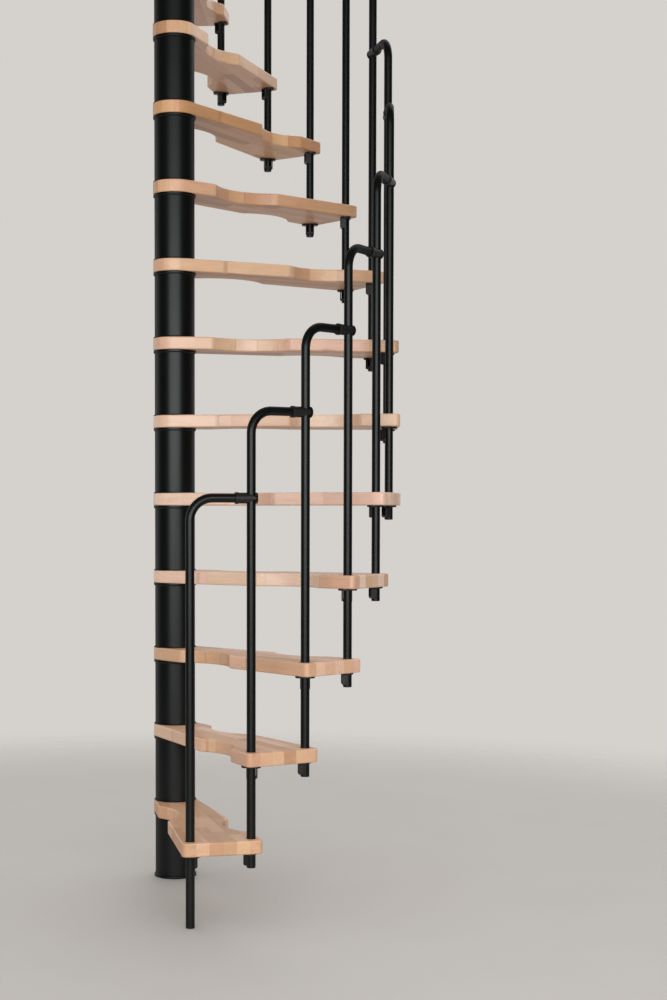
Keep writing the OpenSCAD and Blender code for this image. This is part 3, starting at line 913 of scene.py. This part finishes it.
class Tree:
    """The nodes of a material or of the world."""

    def __init__(self, owner):
        owner.use_nodes = True
        self.nodes, self.links = owner.node_tree.nodes, owner.node_tree.links

    def put(self, kind, settings=None, wires=None, out=0):
        """Any node: its settings first, then a value or a wire for each named or numbered input."""
        node = self.nodes.new(kind)
        for name, value in (settings or {}).items():
            if name == "stops":
                bar = node.color_ramp.elements
                while len(bar) < len(value):
                    bar.new(0.5)
                for stop, (place, colour) in zip(bar, value):
                    stop.position, stop.color = place, (*colour, 1)
            else:
                setattr(node, name, value)
        for name, value in (wires or {}).items():
            if isinstance(value, Wire):
                self.links.new(value.socket, node.inputs[name])
            else:
                node.inputs[name].default_value = value
        return Wire(self, node.outputs[out])

    def mark(self, name, out="Fac"):
        """A value that was stored on the mesh."""
        return self.put("ShaderNodeAttribute", {"attribute_name": name}, out=out)

    def place(self):
        """The point in the stair's own frame."""
        return self.put("ShaderNodeTexCoord", out="Object")

    def facing(self):
        """0 where the surface faces the viewer and 1 where it is seen at a glancing angle."""
        return self.put("ShaderNodeLayerWeight", None, {"Blend": 0.5}, out="Facing")

    def parts(self, vector):
        """X, Y and Z of a vector as three wires."""
        split = self.put("ShaderNodeSeparateXYZ", None, {0: vector})
        return [Wire(self, socket) for socket in split.socket.node.outputs]

    def vector(self, x, y, z):
        """A vector of three numbers or wires."""
        return self.put("ShaderNodeCombineXYZ", None, {0: x, 1: y, 2: z})

    def noise(self, at, scale, detail=3.0, rough=0.55):
        """Cloudy values about 0.5, finer with a larger scale."""
        wires = {"Vector": at, "Scale": scale, "Detail": detail, "Roughness": rough}
        return self.put("ShaderNodeTexNoise", None, wires)

    def cells(self, at, scale):
        """Distance to the nearest of many scattered points."""
        return self.put("ShaderNodeTexVoronoi", {"feature": "F1"}, {"Vector": at, "Scale": scale})

    def chance(self, x, y, z):
        """One random number from 0 to 1 for each different input."""
        wires = {"Vector": self.vector(x, y, z)}
        return self.put("ShaderNodeTexWhiteNoise", {"noise_dimensions": "3D"}, wires)

    def mix(self, share, a, b, way="MIX"):
        """Colour a where share is 0 and b where it is 1."""
        settings = {"data_type": "RGBA", "blend_type": way}
        return self.put("ShaderNodeMix", settings, {0: share, 6: a, 7: b}, out=2)

    def tinted(self, colour, tint):
        """A colour times a tint, channel by channel."""
        return self.mix(1.0, colour, tint, "MULTIPLY")

    def colours(self, share, stops):
        """The colour that a ramp of (place, colour) stops has at a share."""
        return self.put("ShaderNodeValToRGB", {"stops": stops}, {0: share})

    def bump(self, height, distance, strength):
        """Small relief: the surface moves by height * distance, as the light sees it."""
        wires = {"Height": height, "Distance": distance, "Strength": strength}
        return self.put("ShaderNodeBump", None, wires)

    def blend(self, share, a, b):
        """Shader a where share is 0 and b where it is 1."""
        return self.put("ShaderNodeMixShader", None, {0: share, 1: a, 2: b})


print("trees know", len([n for n in vars(Tree) if not n.startswith("__")]), "ways to put down nodes")

# %% [markdown]
# A finish is such a tree with a shader, on whose own sockets the fixed numbers are set. What changes over the
# surface is fed to it by wires.

# %% Finishes


class Finish(Tree):
    """A material with one Principled shader, whose fixed numbers are set on its own sockets."""

    def __init__(self, name, **fixed):
        self.material = bpy.data.materials.new(name)
        super().__init__(self.material)
        self.shader = self.nodes["Principled BSDF"]
        for socket, value in fixed.items():
            title = socket.replace("_", " ").title().replace("Ior", "IOR")
            self.shader.inputs[title].default_value = value

    def feed(self, socket, wire):
        """A wire into a socket of the shader."""
        self.links.new(wire.socket, self.shader.inputs[socket])


def paint(thing, finish):
    """The finish as the only material of an object."""
    thing.data.materials.clear()
    thing.data.materials.append(finish.material)


print("a finish is a tree of nodes:", issubclass(Finish, Tree))

# %% [markdown]
# ## Beech glued from short blocks
# The treads are glued up from staves about 36 mm wide, and each stave is a row of short blocks that are
# joined end to end with small fingers. Every block comes from another board, so its tone differs: pinkish,
# tan or slightly red. The stave and the block under a point follow from the board's own coordinates, and
# random numbers give each stave the length and place of its blocks and each block its tone.

# %% Beech
beech = Finish("beech_lacquered", coat_weight=0.60, coat_roughness=0.28, specular_ior_level=0.3)
number = beech.mark("tread_number")
along, across, height = beech.parts(beech.mark("board", "Vector"))

STAVE, FINGER, FINGER_LONG = 0.0363, 0.0062, 0.009
stave = across / STAVE
row = stave.floor()
seed = beech.chance(row, number, 3.7)
seed_length = beech.chance(row + 11.3, number, 8.1)
zigzag = ((across / FINGER).fraction() - 0.5).size() * FINGER_LONG
block = (along + seed * 0.6 + zigzag + 5.0) / (seed_length * 0.20 + 0.21)
step = block.floor()
tone = beech.chance(row, step, number)
other = beech.chance(row + 3.1, step, number + 20.5)
print("staves", STAVE, "m wide")

# %% [markdown]
# In each block the fibres run along the tread, fine dark flecks lie along them, and faint year rings show as
# long arches on the faces and as curves on the ends. The grain of a block is read in its own coordinates,
# shifted by the block's random numbers, so that the pattern breaks at each joint. Distances along the fibres
# are shrunk, which stretches the noise into streaks. The rings are circles about a pith that lies outside
# the stave and wanders a little.

# %% Grain


def grain(x, y, z, detail, rough=0.55):
    """Noise at a point whose three coordinates are scaled apart."""
    return beech.noise(beech.vector(x, y, z), 1.0, detail, rough)


streaks = grain(along * 5.0 + tone * 40.0, across * 210.0 + other * 30.0, height * 210.0, 5.0, 0.62)
bands = grain(along * 1.6 + other * 17.0, across * 48.0 + tone * 23.0, height * 48.0, 2.0)
wave = grain(along * 3.0 + tone * 9.0, across * 12.0 + other * 9.0, height * 12.0, 2.0)
flecks = grain(along * 420.0, across * 2300.0, height * 900.0 + tone * 60.0, 1.0).ramp(0.60, 0.70)
pith_y = across - row * STAVE + other * 0.06 - 0.05
pith_z = height + tone * 0.05 + 0.006 + along * (other - 0.5) * 0.05 + wave * 0.006
rings = ((pith_y * pith_y + pith_z * pith_z).root() / 0.0034).fraction()
rings = rings.ramp(0.0, 0.75) * rings.ramp(1.0, 0.86)
print("grain runs along the tread")

# %% [markdown]
# The tone of a block picks a colour from a ramp, and its other random number pulls it towards tan or pink.
# The board's tint, partly its own warmth and partly painted light, goes over them all. Some blocks carry a
# reddish stain, and streaks, rings and flecks darken the wood a little. The glue lines between staves and the
# finger joints are hair-thin and only slightly darker than the wood.

# %% Colour of the wood
TAN, PINK = (0.99, 1.00, 0.90, 1), (1.02, 0.935, 0.96, 1)
# Board tints, partly real tone and partly painted light: the pale one adds a painted sheen, the golden one
# painted warm, dim light.
PALE_SHEEN_BOARD, GOLDEN_WARM_LIGHT_BOARD = (1.05, 1.12, 1.28, 1), (0.93, 0.81, 0.62, 1)
STAIN = (0.420, 0.195, 0.100, 1)
ground = beech.colours(tone, [
    (0.00, (0.480, 0.265, 0.150)),
    (0.12, (0.580, 0.340, 0.200)),
    (0.30, (0.630, 0.385, 0.235)),
    (0.48, (0.670, 0.420, 0.265)),
    (0.66, (0.700, 0.450, 0.295)),
    (0.84, (0.745, 0.505, 0.350)),
    (1.00, (0.775, 0.555, 0.400)),
])
ground = beech.mix(other, beech.tinted(ground, TAN), beech.tinted(ground, PINK))
# Each board's tint from its mark: partly its own tone, partly painted light.
ground = beech.tinted(ground, beech.mix(beech.mark("warmth"), PALE_SHEEN_BOARD, GOLDEN_WARM_LIGHT_BOARD))
stain = grain(along * 9.0 + tone * 31.0, across * 70.0, height * 70.0 + other * 13.0, 3.0).ramp(0.60, 0.72)
ground = beech.mix(stain * other.ramp(0.55, 0.80) * 0.55, ground, STAIN)
glue = (stave.off_whole() * STAVE).ramp(0.0006, 0.0002)
joint = (block.off_whole() * 0.3).ramp(0.0006, 0.0002)
shade = 1.0 - (1.0 - streaks.ramp(0.30, 0.70)) * 0.09 - rings * 0.05 - flecks * 0.05
shade = shade - (1.0 - bands.ramp(0.35, 0.68)) * 0.05
shade = shade * (1.0 - glue * 0.20) * (1.0 - joint * 0.22)
beech.feed("Base Color", beech.tinted(ground, beech.vector(shade, shade, shade)))
print("pale boards are tinted", PALE_SHEEN_BOARD[:3], "and golden ones", GOLDEN_WARM_LIGHT_BOARD[:3])

# %% [markdown]
# A clear satin lacquer covers it all. It follows the fibres a little, so it is uneven over streaks and
# flecks. Its gloss is held back at glancing angles, where a smooth coat would mirror the bright surroundings
# and turn the boards white.

# %% Lacquer
glancing = beech.facing().ramp(0.55, 0.90)
beech.feed("Roughness", 0.40 + (1.0 - streaks) * 0.10 + flecks * 0.06 + glancing * 0.30)
beech.feed("Coat Weight", 0.60 - glancing * 0.38)
beech.feed("Normal", beech.bump(streaks * 0.6 - flecks * 0.5 - glue * 0.6, 0.00012, 0.7))
print("beech has", len(beech.nodes), "nodes")

# %% [markdown]
# ## Black powder coat
# Column and tubes are powder coated: a dry paint that melts in an oven and sets with a faint orange peel. It
# is nearly black and satin, it looks duller at glancing angles, and a little dust lies where it faces up. The
# peel on the wide column is coarser than on the thin tubes.

# %% Powder coat
DARKER, LIGHTER = (0.00170, 0.00204, 0.00204, 1), (0.00230, 0.00276, 0.00276, 1)
DUST = (0.030, 0.029, 0.027, 1)


def powder_coat(name, peel):
    """Satin black: peel is the size of the orange-peel cells in metres."""
    coat = Finish(name, specular_ior_level=0.30, specular_tint=(0.94, 1.0, 0.99, 1))
    place, edge = coat.place(), coat.facing()
    waves = coat.noise(place, 1 / peel, 2.0, 0.5)
    fine = coat.noise(place, 5 / peel, 2.0, 0.6)
    cloud = coat.noise(place, 7.0, 4.0, 0.6)
    up = coat.parts(coat.put("ShaderNodeNewGeometry", out="Normal"))[2]
    dust = up.ramp(0.55, 1.0) * coat.noise(place, 60.0, 4.0, 0.65).ramp(0.10, 0.95)
    coat.feed("Base Color", coat.mix(dust * 0.30, coat.mix(cloud, DARKER, LIGHTER), DUST))
    uneven = (cloud - 0.5) * 0.06 + (fine - 0.5) * 0.03
    coat.feed("Roughness", 0.35 + edge * edge * 0.45 + uneven + dust * 0.15)
    coat.feed("Normal", coat.bump(waves + fine * 0.25, peel * 0.018, 0.5))
    return coat


column_coat = powder_coat("powder_coat_column", 0.0022)
tube_coat = powder_coat("powder_coat_tube", 0.0014)
print("powder coat has", len(column_coat.nodes), "nodes")

# %% [markdown]
# ## Black moulding and zinc
# Sockets, clamps and plugs are moulded in black nylon with a fine spark-eroded grain, a little greyer and
# duller than the paint. The screws and the hidden rod are zinc plated, a grey metal with a faint cloudy
# pattern.

# %% Moulding and zinc
nylon = Finish("nylon_moulded", specular_ior_level=0.45)
pits = nylon.cells(nylon.place(), 1500.0)
mottle = nylon.noise(nylon.place(), 220.0, 3.0, 0.6)
nylon.feed("Base Color", nylon.mix(mottle, (0.0040, 0.0043, 0.0043, 1), (0.0070, 0.0073, 0.0073, 1)))
nylon.feed("Roughness", 0.46 + mottle * 0.10)
nylon.feed("Normal", nylon.bump(pits, 0.00008, 0.5))

zinc = Finish("zinc_plated", metallic=1.0)
patches = zinc.cells(zinc.place(), 900.0)
haze = zinc.noise(zinc.place(), 300.0, 4.0, 0.6)
zinc.feed("Base Color", zinc.mix(haze, (0.47, 0.47, 0.49, 1), (0.63, 0.63, 0.64, 1)))
zinc.feed("Roughness", 0.28 + haze * 0.16 + patches * 0.05)
zinc.feed("Normal", zinc.bump(haze, 0.00004, 0.5))
print("nylon has", len(nylon.nodes), "nodes, zinc", len(zinc.nodes))

# %% [markdown]
# ## Finishes on pieces
# Each piece named its slot when it was made, so a small table of slots and finishes is enough. The rod is
# still a solid of the frame, so it gets its zinc in a line of its own.

# %% Give every piece its finish
coat_of = {
    "beech": beech, "tube_black": tube_coat, "column_black": column_coat,
    "fitting_black": nylon, "zinc_steel": zinc,
}
for thing in made.values():
    paint(thing, coat_of[thing["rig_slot"]])
paint(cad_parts["tie_rod"], zinc)

# %% [markdown]
# ## Floor
# The stair stands on a plain pale floor. Further out it turns clear, so that it fades into the backdrop and
# there is no horizon line. Near the stair it keeps the shadow.

# %% Floor
BACKDROP = (0.665, 0.640, 0.612)
radii = np.array([0.0005, 1.0, 2.0, 4.0, 7.0, 11.0])
profile = np.stack([radii, 0 * radii - 0.0002], -1)
disc = Shell(spun(profile, 96), [*squares(len(radii), 96), range(96)[::-1]])
floor = bpy.data.objects.new("floor", mesh_of("floor", outward(disc)))
bpy.context.collection.objects.link(floor)

paving = Finish("pale_floor", roughness=0.62, specular_ior_level=0.35)
place = paving.place()
x, y, _ = paving.parts(place)
far = (x * x + y * y).ramp(2.9, 12.0)
pale = [(0.3, (0.455, 0.437, 0.417)), (0.7, (0.470, 0.451, 0.431))]
paving.feed("Base Color", paving.colours(paving.noise(place, 3.0, 4.0), pale))
clear = paving.put("ShaderNodeBsdfTransparent")
fading = paving.blend(far, Wire(paving, paving.shader.outputs[0]), clear)
paving.links.new(fading.socket, paving.nodes["Material Output"].inputs["Surface"])
paint(floor, paving)
print("floor radius", radii.max(), "m")

# %% [markdown]
# ## Surroundings
# What surrounds the stair is only a light that depends on the direction. The camera sees the plain colour of
# the backdrop. Matt surfaces get a pale light that grows upwards. Glossy ones mirror surroundings that are
# bright at the back and dark at the front, and a little darker below. In the world, Generated coordinates
# are the direction, so a strength can follow its Y or Z.

# %% World
world = bpy.data.worlds.new("surroundings")
bpy.context.scene.world = world
sky = Tree(world)
sky.nodes.clear()
_, back, up = sky.parts(sky.put("ShaderNodeTexCoord", out="Generated"))
gleam = back.ramp(0.25, 0.95, 0.02, 1.30) * up.ramp(-0.40, 0.02, 0.60, 1.0)
glow = up.ramp(-0.1, 1.0, 0.34, 1.05)
mirrored = sky.put("ShaderNodeBackground", None, {"Strength": gleam})
lit = sky.put("ShaderNodeBackground", None, {"Color": (1.0, 0.985, 0.965, 1), "Strength": glow})
seen = sky.put("ShaderNodeBackground", None, {"Color": (*BACKDROP, 1), "Strength": 1.0})
lighting = sky.blend(sky.put("ShaderNodeLightPath", out="Is Glossy Ray"), lit, mirrored)
choice = sky.blend(sky.put("ShaderNodeLightPath", out="Is Camera Ray"), lighting, seen)
sky.links.new(choice.socket, sky.nodes.new("ShaderNodeOutputWorld").inputs["Surface"])
print("the world has", len(sky.nodes), "nodes")

# %% [markdown]
# ## Lamps
# One large soft light stands behind the camera and gives the column its broad soft band. A smaller one
# shines down on the treads from behind the stair, and a weak one at the left rear adds a little light there.

# %% Lamps


def soft_light(name, at, target, wide, high, power):
    """Rectangular area light that looks from one point at another."""
    lamp = bpy.data.lights.new(name, "AREA")
    lamp.shape, lamp.size, lamp.size_y, lamp.energy = "RECTANGLE", wide, high, power
    thing = bpy.data.objects.new(name, lamp)
    bpy.context.collection.objects.link(thing)
    look = (Vector(target) - Vector(at)).to_track_quat("-Z", "Y")
    thing.matrix_world = Matrix.Translation(at) @ look.to_matrix().to_4x4()


soft_light("front_light", (-0.1, -6.6, 1.8), (0, 0, 1.5), 7.8, 2.4, 350)
soft_light("top_light", (1.6, 2.4, 4.7), (0.2, 0, 1.8), 3.2, 3.2, 42)
soft_light("side_light", (-4.5, 2.6, 1.9), (0, 0, 1.6), 3.6, 3.0, 14)
bpy.context.scene.view_settings.view_transform = "Standard"

# %% [markdown]
